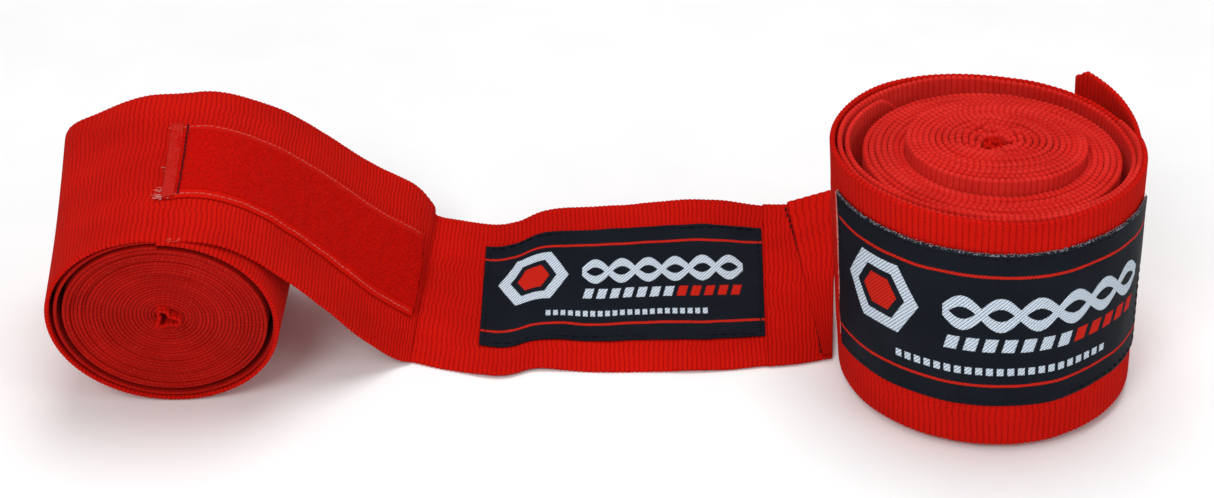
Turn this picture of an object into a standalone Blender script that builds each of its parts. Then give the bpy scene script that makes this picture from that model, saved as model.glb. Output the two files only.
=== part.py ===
"""A pair of elastic cotton hand wraps for boxing, as two assemblies of separate pieces.

The left wrap is partly unrolled: a roll lying on its side, a tail that comes down from the top of
the roll, a label panel lying on the table and a short hemmed end. The right wrap is fully rolled and
stands on its edge, with the free end of its strip peeling away at the back.

Frame: +Z up, Z = 0 is the table, X runs along the pair from the left wrap to the right one, and the
origin is under the middle of the pair. Lengths are in metres; MM turns millimetres into metres.
"""

import math

import bmesh
import bpy
from mathutils import Vector

MM = 0.001

# ---- Driving dimensions, in millimetres ---------------------------------------------------------
CLOTH = 1.2  # thickness of the knitted strip
FIT_GAP = 0.3  # left between pieces that touch
TURN_GAP = 0.4  # left round each wound coil, so that it can turn inside its outer turn
TAPE = 1.0  # thickness of hook tape and of loop tape
TAPE_WIDTH = 24.0
LABEL = 0.5  # thickness of a woven label
THREAD = 0.4  # thickness of a row of stitches
THREAD_ROW = 0.7  # width of a row of stitches
SEAM_INSET = 1.0  # from an edge to the stitches that hold it
HINGE_LIFT = 0.2  # a fold's axis lies this far off the face that it folds towards

LEFT_WIDTH = 49.0  # the unrolled strip, drawn a little narrower by its stretch
LEFT_COIL_NEAR = 22.9  # radius of the lying coil at the face that looks along -Y
LEFT_COIL_FAR = 26.0  # radius at its other face, which is wound more loosely
LEFT_SLANT = 3.5  # the top of the lying roll sits this much nearer than its axis
LEFT_BULGE = 1.2  # how far the outer turn stands off the coil on its left
LEFT_CENTRE_X = -86.5
LEFT_FACE_Y = -24.0
LEFT_FACE_TURN = 2.0  # degrees that the lying coil's axis turns away from +Y
LEFT_TURN_SPAN = (5.0, -265.0)  # degrees about the coil: from its right side, under it and over its top
LEFT_TURN_STEPS = 54
LEFT_BULGE_AT = -190.0  # degrees about the coil, the middle of the stretch that stands off it
LEFT_BULGE_HALF = 100.0
LEFT_PATCH_LENGTH = 70.5
BORE = 3.8  # radius of the hollow in the middle of each coil
LOOP_BORE = 1.6  # and inside the thumb loop that is wound up in it
LEFT_HEM = (2.4, 10.5)  # width of the doubled end of the strip, at its near and far edge
RIGHT_HEM = (4.6, 4.6)
HEM_INSET = 0.4
PAIR_MIDDLE = (1.87, 1.98)  # the middle of the pair's outline on the table; the model's origin is there

RIGHT_WIDTH = 54.0  # the rolled strip, relaxed
RIGHT_CENTRE = (87.2, -4.8)
RIGHT_COIL_LOW = 27.8  # radius of the standing coil at the table
RIGHT_COIL_TOP = 29.5
RIGHT_TURN_LOW = 30.5  # inner radius of its outer turn, at its lower and upper edge
RIGHT_TURN_TOP = 31.8
RIGHT_LOW_LIFT = (1.1, 0.8)  # how far the outer turn's lower edge lies above the table, and its slant
RIGHT_TOP_LIFT = (1.7, 2.2)  # the same for its upper edge above the strip's width
RIGHT_TURN_LEAN = 1.8  # its lower edge sits this far right of the coil, its upper edge left
RIGHT_TURN_SPAN = (72.0, 365.0)  # degrees about the coil, counter-clockwise seen from above
RIGHT_TURN_STEPS = 74
FLAP_SPAN = (366.0, 411.5)
FLAP_STEPS = 14
FLAP_PEEL = 5.8  # how far the tip of the flap stands off
FLAP_RISE = 2.7  # how far the tip's upper edge stands up
FLAP_HOOK_START = 0.48  # share of the flap's length
RIGHT_PATCH_START = 77.0  # degrees
RIGHT_PATCH_LENGTH = 34.0

LABEL_LEFT = (64.5, 33.0)  # length and height
LABEL_RIGHT = (81.5, 37.7)
LABEL_RIGHT_LOW = 9.5  # from the strip's lower edge to the label's
LABEL_RIGHT_START = 194.0  # degrees about the standing coil
HOOK_INSET = (6.0, 4.0)  # how far the hook tape behind the left label stops short of its two ends

# The strip from the top of the lying roll to its end. Each row is the near edge (x, y, z), then how
# many degrees the strip rises towards its far edge, and how many degrees its width turns towards +X.
TAIL = (
    (-76.0, -26.8, 46.3, 8.8, -2.0),
    (-66.5, -22.3, 38.7, 10.0, -0.7),
    (-57.0, -16.2, 25.2, 13.5, 0.5),
    (-48.0, -11.3, 11.9, 17.2, 1.8),
    (-41.0, -7.0, 3.0, 18.6, 2.9),
    (-38.0, -6.0, 0.9, 13.5, 3.3),
)
PANEL = (
    (-36.5, -5.6, 0.7, 8.5, 3.2),
    (-22.0, -9.7, 0.7, 8.5, 0.6),
    (-15.5, -10.4, 0.7, 10.5, 0.3),
    (-8.5, -8.0, 0.7, 13.0, 0.3),
    (5.0, -8.5, 0.7, 14.5, 0.3),
    (26.5, -8.4, 0.7, 17.5, 0.0),
    (41.6, -6.9, 0.7, 14.2, 1.0),
)
END_TAB = (
    (42.4, -6.8, 0.7, 14.0, 1.1),
    (48.5, -5.9, 0.7, 13.7, 2.0),
    (56.0, -3.8, 0.7, 17.0, 4.6),
)

# ---- Colours -----------------------------------------------------------------------------------
RED_CLOTH = (0.58, 0.012, 0.006, 1.0)
RED_TAPE = (0.45, 0.006, 0.004, 1.0)
RED_THREAD = (0.50, 0.02, 0.015, 1.0)
BLACK_CLOTH = (0.008, 0.010, 0.014, 1.0)
BLACK_THREAD = (0.012, 0.012, 0.016, 1.0)


def clear_scene():
    for old in list(bpy.data.objects):
        bpy.data.objects.remove(old)


def material(name, colour, roughness):
    made = bpy.data.materials.new(name)
    made.use_nodes = True
    shader = made.node_tree.nodes["Principled BSDF"]
    shader.inputs["Base Color"].default_value = colour
    shader.inputs["Roughness"].default_value = roughness
    shader.inputs["Metallic"].default_value = 0.0
    return made


def add_object(name, mesh_maker, made_of, axis_point=(0.0, 0.0, 0.0)):
    """One closed solid from a bmesh in millimetres, with its origin at axis_point."""
    mesh = bpy.data.meshes.new(name)
    bmesh.ops.recalc_face_normals(mesh_maker, faces=mesh_maker.faces)
    origin = Vector(axis_point)
    middle = Vector((*PAIR_MIDDLE, 0.0))
    for vertex in mesh_maker.verts:
        vertex.co = (vertex.co - origin) * MM
    mesh_maker.to_mesh(mesh)
    mesh_maker.free()
    mesh.materials.append(made_of)
    mesh.shade_smooth()
    mesh.set_sharp_from_angle(angle=math.radians(40))
    made = bpy.data.objects.new(name, mesh)
    made.location = (origin - middle) * MM
    bpy.context.scene.collection.objects.link(made)
    return made


# ---- A strip as a surface: along its length, across its width, and out from it --------------------
def blend_rows(rows, steps):
    """A smooth curve through rows of numbers (Catmull-Rom), with steps points for each gap."""
    padded = [rows[0], *rows, rows[-1]]
    smooth = []
    for i in range(1, len(padded) - 2):
        before, start, end, after = padded[i - 1 : i + 3]
        for k in range(steps):
            t = k / steps
            point = []
            for a, b, c, d in zip(before, start, end, after, strict=True):
                square = 2 * a - 5 * b + 4 * c - d
                cube = 3 * b - a - 3 * c + d
                point.append(b + 0.5 * ((c - a) * t + square * t**2 + cube * t**3))
            smooth.append(tuple(point))
    smooth.append(tuple(rows[-1]))
    return smooth


class Strip:
    """A ribbon given by its two edges, which are lists of points of equal length."""

    def __init__(self, near, far):
        self.near = [Vector(p) for p in near]
        self.far = [Vector(p) for p in far]
        middle = [(a + b) / 2 for a, b in zip(self.near, self.far, strict=True)]
        self.along = [0.0]
        for a, b in zip(middle, middle[1:], strict=False):
            self.along.append(self.along[-1] + (b - a).length)
        last = len(middle) - 1
        self.out = []
        for i in range(len(middle)):
            travel = middle[min(i + 1, last)] - middle[max(i - 1, 0)]
            self.out.append(travel.cross(self.far[i] - self.near[i]).normalized())
        self.length = self.along[-1]

    def stops(self, start, end):
        """Distances from start to end: both of them and every edge point well between them."""
        margin = THREAD_ROW * 1.5
        between = [s for s in self.along if start + margin < s < end - margin]
        return [start, *between, end]

    def at(self, distance, across, height):
        """The point at a distance along, a share of the width from the near edge, and a height out."""
        distance = min(max(distance, 0.0), self.length)
        i = 1
        while self.along[i] < distance:
            i += 1
        t = (distance - self.along[i - 1]) / (self.along[i] - self.along[i - 1])
        near = self.near[i - 1].lerp(self.near[i], t)
        far = self.far[i - 1].lerp(self.far[i], t)
        out = self.out[i - 1].lerp(self.out[i], t).normalized()
        return near.lerp(far, across) + out * height


def bridge(solid, loops, closed):
    """Faces between rings of vertices: round a closed ring of rings, or a run with its ends filled."""
    count = len(loops[0])
    pairs = list(zip(loops, loops[1:], strict=False))
    if closed:
        pairs.append((loops[-1], loops[0]))
    for a, b in pairs:
        for k in range(count):
            m = (k + 1) % count
            solid.faces.new((a[k], a[m], b[m], b[k]))
    if not closed:
        solid.faces.new(loops[0])
        solid.faces.new(list(reversed(loops[-1])))


def patch_solid(strip, start, end, low, high, bottom, top, skew=(0.0, 0.0)):
    """A flat piece lying on a strip: from start to end along it, low to high across, bottom to top out.

    skew is how much further along the strip its start and its end lie at the far side than at the near."""
    middle = (low + high) / 2
    outline = [(v, bottom) for v in (low, middle, high)] + [(v, top) for v in (high, middle, low)]
    solid = bmesh.new()
    loops = []
    for distance in strip.stops(start, end):
        done = (distance - start) / (end - start)
        lead = (skew[0] * (1 - done) + skew[1] * done) / (high - low)
        loops.append([solid.verts.new(strip.at(distance + lead * (v - middle), v, h)) for v, h in outline])
    bridge(solid, loops, closed=False)
    return solid


def stitch_ring(strip, start, end, low, high, bottom, top):
    """One row of stitches round a rectangle on a strip."""
    row = THREAD_ROW
    shrink = row / (strip.far[0] - strip.near[0]).length
    along = strip.stops(start, end)
    outline = [(s, low) for s in along] + [(s, high) for s in reversed(along)]
    solid = bmesh.new()
    loops = []
    for s, v in outline:
        inner_s = min(max(s, start + row), end - row)
        inner_v = min(max(v, low + shrink), high - shrink)
        corners = ((s, v, bottom), (s, v, top), (inner_s, inner_v, top), (inner_s, inner_v, bottom))
        loops.append([solid.verts.new(strip.at(*corner_at)) for corner_at in corners])
    bridge(solid, loops, closed=True)
    return solid


def turned_solid(profile, low_centre, axis, segments, slant=0.0, widening=0.0):
    """A solid turned about an axis. The profile is a closed outline of (radius, distance along).

    slant tips both ends: it is how far back they are moved for each millimetre up from the axis.
    widening is how much the radius grows for each millimetre along, which keeps a tipped cone round."""
    axis = Vector(axis).normalized()
    side = Vector((1.0, 0.0, 0.0))
    side = (side - axis * side.dot(axis)).normalized()
    other = side.cross(axis)
    solid = bmesh.new()
    loops = []
    for i in range(segments):
        angle = 2 * math.pi * i / segments
        spoke = side * math.cos(angle) + other * math.sin(angle)
        tip = slant * math.sin(angle)
        ring = []
        for r, z in profile:
            radius = r * (1 - widening * tip)
            ring.append(solid.verts.new(Vector(low_centre) + axis * (z - r * tip) + spoke * radius))
        loops.append(ring)
    bridge(solid, loops, closed=True)
    return solid


def fold_line(strip):
    """The middle of the line that a strip folds outwards about: its first edge, just off its outer face."""
    return strip.at(0.0, 0.5, CLOTH / 2 + HINGE_LIFT)


def centred(size, width):
    """Where a piece of this size lies across a strip of this width, as two shares of the width."""
    half = size / width / 2
    return 0.5 - half, 0.5 + half


# ---- Left wrap ------------------------------------------------------------------------------------
def left_axis():
    """The near centre, far centre and direction of the lying coil, whose lower side is level."""
    cone = math.atan((LEFT_COIL_FAR - LEFT_COIL_NEAR) / LEFT_WIDTH)
    turn = math.radians(LEFT_FACE_TURN)
    level = math.cos(cone)
    direction = Vector((-math.sin(turn) * level, math.cos(turn) * level, math.sin(cone)))
    height = (LEFT_COIL_NEAR + TURN_GAP + CLOTH / 2) * level + CLOTH / 2
    near = Vector((LEFT_CENTRE_X, LEFT_FACE_Y, height))
    return near, near + direction * LEFT_WIDTH, direction


def left_rim(angle):
    """The near and far edge of the outer turn at an angle in degrees, in the middle of its cloth."""
    near, far, direction = left_axis()
    side = Vector((0.0, 0.0, 1.0)).cross(direction).normalized() * -1
    rise = side.cross(direction)
    spoke = side * math.cos(math.radians(angle)) + rise * math.sin(math.radians(angle))
    swing = (angle - LEFT_BULGE_AT) / LEFT_BULGE_HALF
    bulge = LEFT_BULGE * max(0.0, 1.0 - swing**2) ** 2
    stand_off = TURN_GAP + CLOTH / 2 + bulge
    near = near + spoke * (LEFT_COIL_NEAR + stand_off)
    far = far + spoke * (LEFT_COIL_FAR + stand_off)
    tip = direction * LEFT_SLANT * math.sin(math.radians(angle))
    return near - tip, far - tip


def edge_rows(rows):
    """The near and far edges that rows of (x, y, z, rise, turn) describe."""
    near, far = [], []
    for x, y, z, rise, turn in rows:
        rise, turn = math.radians(rise), math.radians(turn)
        level = math.cos(rise)
        across = Vector((level * math.sin(turn), level * math.cos(turn), math.sin(rise)))
        near.append(Vector((x, y, z)))
        far.append(Vector((x, y, z)) + across * LEFT_WIDTH)
    return near, far


def left_strips():
    """The outer turn with its tail, the label panel and the end tab, as three strips."""
    first, last = LEFT_TURN_SPAN
    turn = [left_rim(first + (last - first) * i / LEFT_TURN_STEPS) for i in range(LEFT_TURN_STEPS + 1)]
    tail = list(zip(*edge_rows(TAIL), strict=True))
    joined = [tuple(near) + tuple(far) for near, far in turn[-1:] + tail]
    smooth = blend_rows(joined, 5)[1:]
    near = [edge for edge, _ in turn] + [row[:3] for row in smooth]
    far = [edge for _, edge in turn] + [row[3:] for row in smooth]
    outer = Strip(near, far)
    panel = Strip(*edge_rows(blend_rows(PANEL, 6)))
    end = Strip(*edge_rows(blend_rows(END_TAB, 4)))
    return outer, panel, end


def strip_body(strip):
    """The cloth of a strip, at its full width and thickness."""
    shares = (0.0, 0.25, 0.5, 0.75, 1.0)
    solid = bmesh.new()
    loops = []
    for i, out in enumerate(strip.out):
        under = [strip.near[i].lerp(strip.far[i], v) - out * CLOTH / 2 for v in shares]
        over = [p + out * CLOTH for p in reversed(under)]
        loops.append([solid.verts.new(p) for p in under + over])
    bridge(solid, loops, closed=False)
    return solid


def hem_and_seam(strip, widths):
    """The doubled end of a strip, and the row of stitches that holds it down."""
    skew = widths[0] - widths[1]
    end = strip.length - HEM_INSET
    start = end - (widths[0] + widths[1]) / 2
    low = CLOTH / 2 + FIT_GAP
    high = low + CLOTH
    hem = patch_solid(strip, start, end, 0.01, 0.99, low, high, (skew, 0.0))
    row = start + SEAM_INSET
    top = high + FIT_GAP
    seam = patch_solid(strip, row, row + THREAD_ROW, 0.03, 0.97, top, top + THREAD, (skew * 0.94, skew * 0.94))
    return hem, seam


def build_left_wrap(cloth, tape, thread, label, label_thread):
    outer, panel, end = left_strips()
    near, far, direction = left_axis()
    face = CLOTH / 2 + FIT_GAP

    coil_profile = (
        (BORE, 0.0),
        (LEFT_COIL_NEAR, 0.0),
        (LEFT_COIL_FAR, LEFT_WIDTH),
        (BORE, LEFT_WIDTH),
    )
    slant = LEFT_SLANT / LEFT_COIL_FAR
    widening = (LEFT_COIL_FAR - LEFT_COIL_NEAR) / LEFT_WIDTH
    coil = turned_solid(coil_profile, near, direction, 72, slant, widening)
    add_object("left_wound_coil", coil, cloth, near)
    loop_profile = (
        (LOOP_BORE, -0.6),
        (BORE - FIT_GAP, 0.2),
        (BORE - FIT_GAP, LEFT_WIDTH - 3.0),
        (LOOP_BORE, LEFT_WIDTH - 3.0),
    )
    add_object("left_thumb_loop", turned_solid(loop_profile, near, direction, 20, slant), cloth, near)
    add_object("left_outer_turn_and_tail", strip_body(outer), cloth)

    # The loop tape runs from the top of the roll down to the crease where the tail meets the table.
    patch_end = outer.length - 1.5
    patch_start = patch_end - LEFT_PATCH_LENGTH
    low, high = centred(TAPE_WIDTH, LEFT_WIDTH)
    patch = patch_solid(outer, patch_start, patch_end, low, high, face, face + TAPE)
    add_object("left_loop_patch", patch, tape)
    inset = SEAM_INSET / LEFT_WIDTH
    row = face + TAPE + FIT_GAP
    ring = stitch_ring(
        outer, patch_start + SEAM_INSET, patch_end - SEAM_INSET, low + inset, high - inset,
        row, row + THREAD,
    )
    add_object("left_loop_patch_stitching", ring, thread)

    # The label panel turns up about the crease at its left end.
    crease = fold_line(panel)
    add_object("left_label_panel", strip_body(panel), cloth, crease)
    label_end = panel.length - 0.6
    label_start = label_end - LABEL_LEFT[0]
    low, high = centred(LABEL_LEFT[1], LEFT_WIDTH)
    woven = patch_solid(panel, label_start, label_end, low, high, face, face + LABEL)
    add_object("left_woven_label", woven, label, crease)
    row = face + LABEL + FIT_GAP
    ring = stitch_ring(
        panel, label_start + SEAM_INSET, label_end - SEAM_INSET, low + inset, high - inset,
        row, row + THREAD,
    )
    add_object("left_label_stitching", ring, label_thread, crease)

    # Hook tape on the reverse, behind the label.
    low, high = centred(TAPE_WIDTH, LEFT_WIDTH)
    hook_start, hook_end = label_start + HOOK_INSET[0], label_end - HOOK_INSET[1]
    hook = patch_solid(panel, hook_start, hook_end, low, high, -face - TAPE, -face)
    add_object("left_hook_patch", hook, tape, crease)
    row = face + TAPE + FIT_GAP
    ring = stitch_ring(
        panel, hook_start + SEAM_INSET, hook_end - SEAM_INSET, low + inset, high - inset,
        -row - THREAD, -row,
    )
    add_object("left_hook_patch_stitching", ring, thread, crease)

    # The end of the strip folds up beside the label; its hem is doubled over and sewn.
    fold = fold_line(end)
    add_object("left_end_tab", strip_body(end), cloth, fold)
    hem, seam = hem_and_seam(end, LEFT_HEM)
    add_object("left_end_hem", hem, cloth, fold)
    add_object("left_end_seam", seam, thread, fold)


# ---- Right wrap -----------------------------------------------------------------------------------
def right_rim(angle, extra, raised=0.0):
    """The lower and upper edge of the outer turn at an angle in degrees, in the middle of its cloth."""
    turn = math.radians(angle)
    spoke = Vector((math.cos(turn), math.sin(turn), 0.0))
    low_centre = Vector((RIGHT_CENTRE[0] + RIGHT_TURN_LEAN, RIGHT_CENTRE[1], 0.0))
    top_centre = Vector((RIGHT_CENTRE[0] - RIGHT_TURN_LEAN, RIGHT_CENTRE[1], 0.0))
    low_lift = RIGHT_LOW_LIFT[0] - RIGHT_LOW_LIFT[1] * spoke.y
    top_lift = RIGHT_TOP_LIFT[0] - RIGHT_TOP_LIFT[1] * spoke.y + raised
    up = Vector((0.0, 0.0, 1.0))
    low = low_centre + spoke * (RIGHT_TURN_LOW + CLOTH / 2 + extra) + up * low_lift
    top = top_centre + spoke * (RIGHT_TURN_TOP + CLOTH / 2 + extra) + up * (top_lift + RIGHT_WIDTH)
    return low, top


def right_strip(span, peel, raised, pieces):
    """The strip round the standing roll over a span of degrees, standing off and up more along the span."""
    low, top = [], []
    for i in range(pieces + 1):
        t = i / pieces
        a, b = right_rim(span[0] + (span[1] - span[0]) * t, peel * t**1.15, raised * t**0.7)
        low.append(a)
        top.append(b)
    return Strip(low, top)


def build_right_wrap(cloth, tape, thread, label, label_thread):
    outer = right_strip(RIGHT_TURN_SPAN, 0.0, 0.0, RIGHT_TURN_STEPS)
    flap = right_strip(FLAP_SPAN, FLAP_PEEL, FLAP_RISE, FLAP_STEPS)
    middle = Vector((*RIGHT_CENTRE, 0.0))
    face = CLOTH / 2 + FIT_GAP
    inset = SEAM_INSET / RIGHT_WIDTH

    # The wound coil: its middle is pushed up, and a groove runs round between two groups of turns.
    coil_profile = (
        (BORE, 0.0),
        (RIGHT_COIL_LOW, 0.0),
        (RIGHT_COIL_TOP, RIGHT_WIDTH - 0.2),
        (22.0, RIGHT_WIDTH + 0.2),
        (20.5, RIGHT_WIDTH - 1.2),
        (18.5, RIGHT_WIDTH + 0.6),
        (13.0, RIGHT_WIDTH + 2.6),
        (BORE, RIGHT_WIDTH + 2.0),
    )
    up = (0.0, 0.0, 1.0)
    add_object("right_wound_coil", turned_solid(coil_profile, middle, up, 72), cloth, middle)
    loop_profile = (
        (LOOP_BORE, 3.0),
        (BORE - FIT_GAP, 3.0),
        (BORE - FIT_GAP, RIGHT_WIDTH + 1.4),
        (LOOP_BORE, RIGHT_WIDTH + 2.2),
    )
    add_object("right_thumb_loop", turned_solid(loop_profile, middle, up, 20), cloth, middle)
    add_object("right_outer_turn", strip_body(outer), cloth, middle)

    # The woven label covers the front of the outer turn.
    degree = outer.length / (RIGHT_TURN_SPAN[1] - RIGHT_TURN_SPAN[0])
    label_start = (LABEL_RIGHT_START - RIGHT_TURN_SPAN[0]) * degree
    label_end = label_start + LABEL_RIGHT[0]
    low, high = LABEL_RIGHT_LOW / RIGHT_WIDTH, (LABEL_RIGHT_LOW + LABEL_RIGHT[1]) / RIGHT_WIDTH
    woven = patch_solid(outer, label_start, label_end, low, high, face, face + LABEL)
    add_object("right_woven_label", woven, label, middle)
    row = face + LABEL + FIT_GAP
    ring = stitch_ring(
        outer, label_start + SEAM_INSET, label_end - SEAM_INSET, low + inset, high - inset,
        row, row + THREAD,
    )
    add_object("right_label_stitching", ring, label_thread, middle)

    # Loop tape at the back, where the hook tape of the free end closes.
    patch_start = (RIGHT_PATCH_START - RIGHT_TURN_SPAN[0]) * degree
    patch_end = patch_start + RIGHT_PATCH_LENGTH
    low, high = centred(TAPE_WIDTH, RIGHT_WIDTH)
    patch = patch_solid(outer, patch_start, patch_end, low, high, face, face + TAPE)
    add_object("right_loop_patch", patch, tape, middle)
    row = face + TAPE + FIT_GAP
    ring = stitch_ring(
        outer, patch_start + SEAM_INSET, patch_end - SEAM_INSET, low + inset, high - inset,
        row, row + THREAD,
    )
    add_object("right_loop_patch_stitching", ring, thread, middle)

    # The free end peels away about an upright line where it leaves the outer turn.
    hinge = fold_line(flap)
    add_object("right_end_flap", strip_body(flap), cloth, hinge)
    hook_start, hook_end = flap.length * FLAP_HOOK_START, flap.length - 1.0
    hook = patch_solid(flap, hook_start, hook_end, low, high, -face - TAPE, -face)
    add_object("right_hook_patch", hook, tape, hinge)
    ring = stitch_ring(
        flap, hook_start + SEAM_INSET, hook_end - SEAM_INSET, low + inset, high - inset,
        -row - THREAD, -row,
    )
    add_object("right_hook_patch_stitching", ring, thread, hinge)
    hem, seam = hem_and_seam(flap, RIGHT_HEM)
    add_object("right_end_hem", hem, cloth, hinge)
    add_object("right_end_seam", seam, thread, hinge)


def main():
    clear_scene()
    cloth = material("red_cloth", RED_CLOTH, 0.85)
    tape = material("red_tape", RED_TAPE, 0.95)
    thread = material("red_thread", RED_THREAD, 0.6)
    label = material("black_woven_label", BLACK_CLOTH, 0.55)
    label_thread = material("black_thread", BLACK_THREAD, 0.6)
    build_left_wrap(cloth, tape, thread, label, label_thread)
    build_right_wrap(cloth, tape, thread, label, label_thread)


main()
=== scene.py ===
"""The looks of a pair of elastic boxing hand wraps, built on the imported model.

The left wrap is partly unrolled and the right one stands rolled up. Every strip of cloth is a thin
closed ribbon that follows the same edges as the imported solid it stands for. Lengths are in
millimetres until a mesh is made. Along a strip, s runs along it, v runs across it from its near or
lower edge, and h is the height above its middle, on the side that faces out of the roll.
"""

import math
from functools import partialmethod

import bpy
import numpy as np
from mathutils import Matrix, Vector


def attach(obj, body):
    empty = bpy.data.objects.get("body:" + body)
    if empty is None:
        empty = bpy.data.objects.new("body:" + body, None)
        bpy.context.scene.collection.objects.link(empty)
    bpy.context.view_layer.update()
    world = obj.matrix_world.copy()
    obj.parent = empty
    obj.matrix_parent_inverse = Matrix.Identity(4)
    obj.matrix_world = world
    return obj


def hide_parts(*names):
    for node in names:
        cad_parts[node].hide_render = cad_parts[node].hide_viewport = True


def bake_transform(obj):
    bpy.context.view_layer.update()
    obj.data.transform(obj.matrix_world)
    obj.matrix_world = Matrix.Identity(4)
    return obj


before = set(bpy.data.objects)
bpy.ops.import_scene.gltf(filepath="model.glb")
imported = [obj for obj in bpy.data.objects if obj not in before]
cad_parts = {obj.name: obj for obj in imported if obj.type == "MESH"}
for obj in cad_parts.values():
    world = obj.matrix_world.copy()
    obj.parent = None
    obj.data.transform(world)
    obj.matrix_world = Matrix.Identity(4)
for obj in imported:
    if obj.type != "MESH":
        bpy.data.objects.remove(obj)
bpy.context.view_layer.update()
MM = 0.001
chance = np.random.default_rng(7)

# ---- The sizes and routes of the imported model, in millimetres --------------------------------------
PAIR_MIDDLE = np.array((1.87, 1.98, 0.0))
CLOTH = 1.2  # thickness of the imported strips
TURN_GAP = 0.4  # between the wound coil and its outer turn
LEFT_WIDTH = 49.0
LEFT_COIL_NEAR = 22.9
LEFT_COIL_FAR = 26.0
LEFT_SLANT = 3.5  # how far the top of the near end is pushed towards the viewer
LEFT_CENTRE_X = -86.5
LEFT_FACE_Y = -24.0
LEFT_FACE_TURN = 2.0
LEFT_TURN_SPAN = (5.0, -265.0)
LEFT_BULGE = 0.7  # how far the outer turn stands off, most at -190 degrees
LEFT_BULGE_AT = -190.0
LEFT_BULGE_HALF = 100.0
LEFT_PATCH_LENGTH = 70.5
LEFT_HEM = (2.4, 10.5)
RIGHT_HEM = 4.6
TAPE_WIDTH = 24.0
RIGHT_WIDTH = 54.0
RIGHT_CENTRE = np.array((87.2, -4.8, 0.0))
RIGHT_TURN_LOW = 30.5
RIGHT_TURN_TOP = 31.8
RIGHT_LOW_LIFT = (1.1, 0.8)
RIGHT_TOP_LIFT = (1.7, 2.2)
RIGHT_TURN_LEAN = 1.8
RIGHT_TURN_START = 72.0
FLAP_SPAN = (366.0, 411.5)
FLAP_PEEL = 5.8
FLAP_RISE = 2.7
RIGHT_PATCH_START = 77.0
RIGHT_PATCH_LENGTH = 34.0
LABEL_LEFT = (64.5, 33.0)
LABEL_RIGHT = (81.5, 37.7)
LABEL_RIGHT_START = 194.0
LABEL_RIGHT_LOW = 10.7
# Near edge (x, y, z), degrees that the strip rises to its far edge, degrees that its width turns to +X.
TAIL = (
    (-76.0, -26.8, 46.3, 8.8, -2.0),
    (-66.5, -22.3, 38.7, 10.0, -0.7),
    (-57.0, -16.2, 25.2, 13.5, 0.5),
    (-48.0, -11.3, 11.9, 17.2, 1.8),
    (-41.0, -7.0, 3.0, 18.6, 2.9),
    (-38.0, -6.0, 0.9, 13.5, 3.3),
)
PANEL = (
    (-36.5, -5.6, 0.7, 8.5, 3.2),
    (-22.0, -9.7, 0.7, 8.5, 0.6),
    (-15.5, -10.4, 0.7, 10.5, 0.3),
    (-8.5, -8.0, 0.7, 13.0, 0.3),
    (5.0, -8.5, 0.7, 14.5, 0.3),
    (26.5, -8.4, 0.7, 17.5, 0.0),
    (41.6, -6.9, 0.7, 14.2, 1.0),
)
END_TAB = (
    (42.4, -6.8, 0.7, 14.0, 1.1),
    (48.5, -5.9, 0.7, 13.7, 2.0),
    (56.0, -3.8, 0.7, 17.0, 4.6),
)

# ---- Sizes of the visible detail, in millimetres ---------------------------------------------------
LEFT_CLOTH = 0.95  # thickness of the stretched strip where it is laid out
LEFT_TURN_PITCH = 0.80  # from one wound turn to the next, at the near end
RIGHT_CLOTH = 1.15
RIGHT_TURN_PITCH = 1.30
LEFT_RIB = 1.06  # from one rib of the knit to the next, and from one bead of the edge to the next
RIGHT_RIB = 1.28
CORE = 2.6  # radius where the innermost turn starts
LEFT_LAYER = 0.88  # between the outermost turns of the lying roll
RIGHT_LAYER = 1.35  # and of the standing one
LEFT_GROOVES = ((12.9, 0.5), (15.0, 0.4), (17.1, 0.5), (19.6, 0.6), (21.0, 0.4))  # radius and depth
LAYER_LEAN = 0.3  # each turn inside the standing roll's outer one leans this much less
COIL_LEAN = 0.3  # and its wound coil leans this much


# ---- Small tools -----------------------------------------------------------------------------------
def smooth_step(x, low, high):
    t = np.clip((np.asarray(x, float) - low) / (high - low), 0.0, 1.0)
    return t * t * (3 - 2 * t)


def wander(x, pitch, seed):
    """A smooth random line: numbers from -1 to 1 that change over about one pitch."""
    values = np.random.default_rng(seed).uniform(-1, 1, 4096)
    place = np.asarray(x, float) / pitch + 1000.0
    cell = np.floor(place).astype(int)
    t = place - cell
    t = t * t * (3 - 2 * t)
    return values[cell % 4096] * (1 - t) + values[(cell + 1) % 4096] * t


def wander_2d(x, y, pitch, seed):
    """A smooth random surface from -1 to 1 that changes over about one pitch each way."""
    values = np.random.default_rng(seed).uniform(-1, 1, (256, 256))
    x, y = np.asarray(x, float) / pitch + 500.0, np.asarray(y, float) / pitch + 500.0
    i, j = np.floor(x).astype(int), np.floor(y).astype(int)
    a, b = x - i, y - j
    a, b = a * a * (3 - 2 * a), b * b * (3 - 2 * b)
    i, j, k, m = i % 256, j % 256, (i + 1) % 256, (j + 1) % 256
    low = values[i, j] * (1 - a) + values[k, j] * a
    high = values[i, m] * (1 - a) + values[k, m] * a
    return low * (1 - b) + high * b


def unit(vectors):
    return vectors / np.linalg.norm(vectors, axis=-1, keepdims=True)


def smooth_rows(rows, steps=10):
    """A dense smooth curve through rows of numbers (Catmull-Rom)."""
    rows = np.asarray(rows, float)
    padded = np.vstack([2 * rows[0] - rows[1], rows, 2 * rows[-1] - rows[-2]])
    a, b, c, d = padded[:-3], padded[1:-2], padded[2:-1], padded[3:]
    dense = []
    for t in np.arange(steps) / steps:
        square = 2 * a - 5 * b + 4 * c - d
        cube = 3 * b - a - 3 * c + d
        dense.append(b + 0.5 * ((c - a) * t + square * t**2 + cube * t**3))
    return np.vstack([np.stack(dense, axis=1).reshape(-1, rows.shape[1]), rows[-1:]])


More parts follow.
